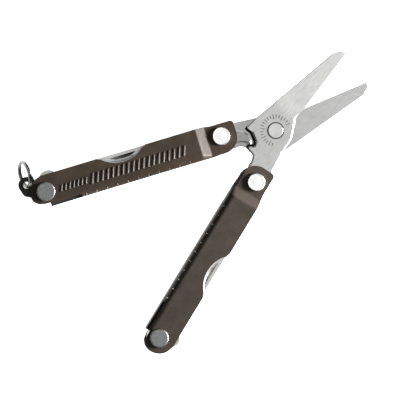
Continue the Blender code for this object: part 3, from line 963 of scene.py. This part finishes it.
def make_tools():
    top = FRONT_TOOL[1]
    edge = grind_cutter(TOOL_STEEL_A, top, depth_edge=1.1, depth_spine=0.1, start=11.0,
                        edge_y=-3.6, spine_y=3.0, end_x=46.0)
    # The knife's nail nick takes the dark grey: painted shade in the nick
    make_tool("knife_blade", knife_outline(), FRONT_TOOL, IN_A, "knife", TOOL_STEEL_A,
              [nick(24.5, 3.9, 4.2, 1.15, top, DARK_MARK_AND_NICK_SHADE), edge])
    # The opener's nail nick takes the white rivet steel: a painted highlight on its curved wall
    make_tool("bottle_opener", opener_outline(), FRONT_TOOL, IN_B, "opener", TOOL_STEEL_B,
              [nick(23.6, 3.35, 4.4, 1.05, top, WHITE_RIVET_AND_NICK_HIGHLIGHT)])
    make_tool("phillips_driver", phillips_outline(), FRONT_DRIVER, IN_B, "phillips", TOOL_STEEL_B)
    make_tool("small_driver", small_driver_outline(), REAR_DRIVER, IN_B, "small_driver", TOOL_STEEL_B)
    for word, bounds in TWEEZER_ARMS.items():
        make_tool(f"tweezer_{word}_arm", tweezer_outline(), bounds, IN_B, "tweezers", TOOL_STEEL_B,
                  chamfer=0.06)
    make_tool("nail_file", file_outline(), NAIL_FILE, IN_B, "file", FILE_STEEL)


# Loop and ring


def make_loop():
    loop = chamfered("lanyard_loop_piece", loop_outline(), *LOOP_LAYER, 0.3, BLACK_COAT)
    carve(loop, hole(0, 0, material=BLACK_COAT), hole(*LOOP_HOLE, LOOP_HOLE_R, material=BLACK_COAT))
    settle(loop, IN_A, "lanyard", "black_coat", "lanyard_loop")


def make_split_ring():
    """Two turns of wire, side by side, that step over each other once."""
    lean = Vector((math.cos(math.radians(RING_LEAN)), math.sin(math.radians(RING_LEAN)), 0))
    across = Vector((lean.y, -lean.x, 0))
    tilt = math.radians(RING_TILT)
    rise = across * math.cos(tilt) + Vector((0, 0, math.sin(tilt)))
    seat = Vector((LOOP_HOLE[0] + RING_SEAT[0], LOOP_HOLE[1] + RING_SEAT[1], sum(LOOP_LAYER) / 2))
    turn = Matrix((lean, rise, lean.cross(rise))).transposed().to_4x4()
    ring_frame = Matrix.Translation(seat + lean * RING_R) @ turn
    wire = RING_WIRE_R * RING_WIRE_HEIGHT
    per_turn, sides = 72, 12
    rings = []
    total = 2 * per_turn - 6
    for i in range(total + 1):
        a = 2 * math.pi * i / per_turn
        side = math.tanh((i - total / 2) / 5.0) * wire
        centre = Vector((RING_R * math.cos(a), RING_R * math.sin(a), side))
        out = Vector((math.cos(a), math.sin(a), 0))
        loop = []
        for k in range(sides):
            b = 2 * math.pi * k / sides
            aside = Vector((0, 0, wire * math.sin(b)))
            loop.append(centre + out * (RING_WIRE_WIDTH * RING_WIRE_R * math.cos(b)) + aside)
        rings.append(loop)
    ring = loft("split_ring_wire", rings, RING_STEEL)
    ring.data.transform(ring_frame)
    settle(ring, IN_A, "key_ring", "ring_steel", "split_ring", crease=60)


def finish_cad_nodes():
    """Inner turned pieces keep their CAD shape and get the rivets' steel."""
    for node in ("spring_bush", "handle_a_front_washer", "long_spacer", "short_spacer",
                 "handle_b_front_washer", "handle_b_rear_washer", "tang_spacer"):
        obj = frame["nodes"][node]
        obj.data.materials.clear()
        obj.data.materials.append(RIVET_GREY)


# Floor, light and camera


def make_floor():
    bm = bmesh.new()
    bmesh.ops.create_grid(bm, x_segments=1, y_segments=1, size=FLOOR_HALF)
    mesh = bpy.data.meshes.new("floor")
    bm.to_mesh(mesh)
    bm.free()
    floor = bpy.data.objects.new("floor", mesh)
    bpy.context.collection.objects.link(floor)
    floor.location.z = FLOOR_Z
    paper = Finish("white_paper", (0.9, 0.9, 0.9), 0.9, 0.0)
    paper.shader.inputs["Emission Color"].default_value = (1, 1, 1, 1)
    paper.shader.inputs["Emission Strength"].default_value = 1.0
    mesh.materials.append(paper.material)


def make_light(name, turn, elevation, distance, size, power):
    """Soft box aimed at the object from a direction given as seen in the picture."""
    data = bpy.data.lights.new(name, "AREA")
    data.shape = "RECTANGLE"
    data.size, data.size_y = size
    data.energy = power
    light = bpy.data.objects.new(name, data)
    bpy.context.collection.objects.link(light)
    around = math.radians(turn + CAMERA_TURN)
    up = math.radians(elevation)
    towards = Vector((math.cos(around) * math.cos(up), math.sin(around) * math.cos(up), math.sin(up)))
    light.location = Vector(CAMERA_AIM) * MM + towards * distance
    light.rotation_euler = towards.to_track_quat("Z", "Y").to_euler()


def make_lights():
    world = bpy.data.worlds.new("studio")
    bpy.context.scene.world = world
    bpy.context.scene.view_settings.view_transform = "Standard"
    world.use_nodes = True
    world.node_tree.nodes["Background"].inputs["Color"].default_value = (1, 1, 1, 1)
    world.node_tree.nodes["Background"].inputs["Strength"].default_value = WORLD_STRENGTH
    make_light("overhead_box", turn=20, elevation=78, distance=1.4, size=(1.1, 1.1), power=3.6)
    make_light("key_box", turn=4, elevation=18, distance=0.4, size=(0.16, 0.12), power=12.5)


def make_camera():
    data = bpy.data.cameras.new("camera")
    data.sensor_width = 36.0
    data.lens = data.sensor_width * CAMERA_DISTANCE / VIEW_WIDTH
    data.clip_start = 0.01
    data.clip_end = 10.0
    camera = bpy.data.objects.new("camera", data)
    bpy.context.collection.objects.link(camera)
    camera.location = Vector(CAMERA_PLACE) * MM
    back = (Vector(CAMERA_PLACE) - Vector(CAMERA_AIM)).normalized()
    turn = math.radians(CAMERA_TURN)
    right = Vector((-math.sin(turn), math.cos(turn), 0)).cross(back).normalized()
    camera.rotation_euler = Matrix((right, back.cross(right), back)).transposed().to_euler()
    bpy.context.scene.camera = camera


make_camera()
make_lights()
make_floor()
make_blade("front_blade", IN_FRONT_BLADE, FRONT_STEEL, FRONT_CHAMFER, marked=True)
make_blade("back_blade", IN_BACK_BLADE, BACK_STEEL_SHADED, BACK_CHAMFER, marked=False)
make_rivet("scissor_rivet", place(SCISSOR, 0), "scissor_rivet", SCISSOR_HEAD_R, BLADE_FACES[1],
           SCISSOR_HEAD_THICK, HEAD_STEEL, soft=0.15, knurled=False)
make_spring()
make_handle("a", IN_A)
make_handle("b", IN_B)
make_relief(IN_A)
make_tools()
make_loop()
make_split_ring()
finish_cad_nodes()
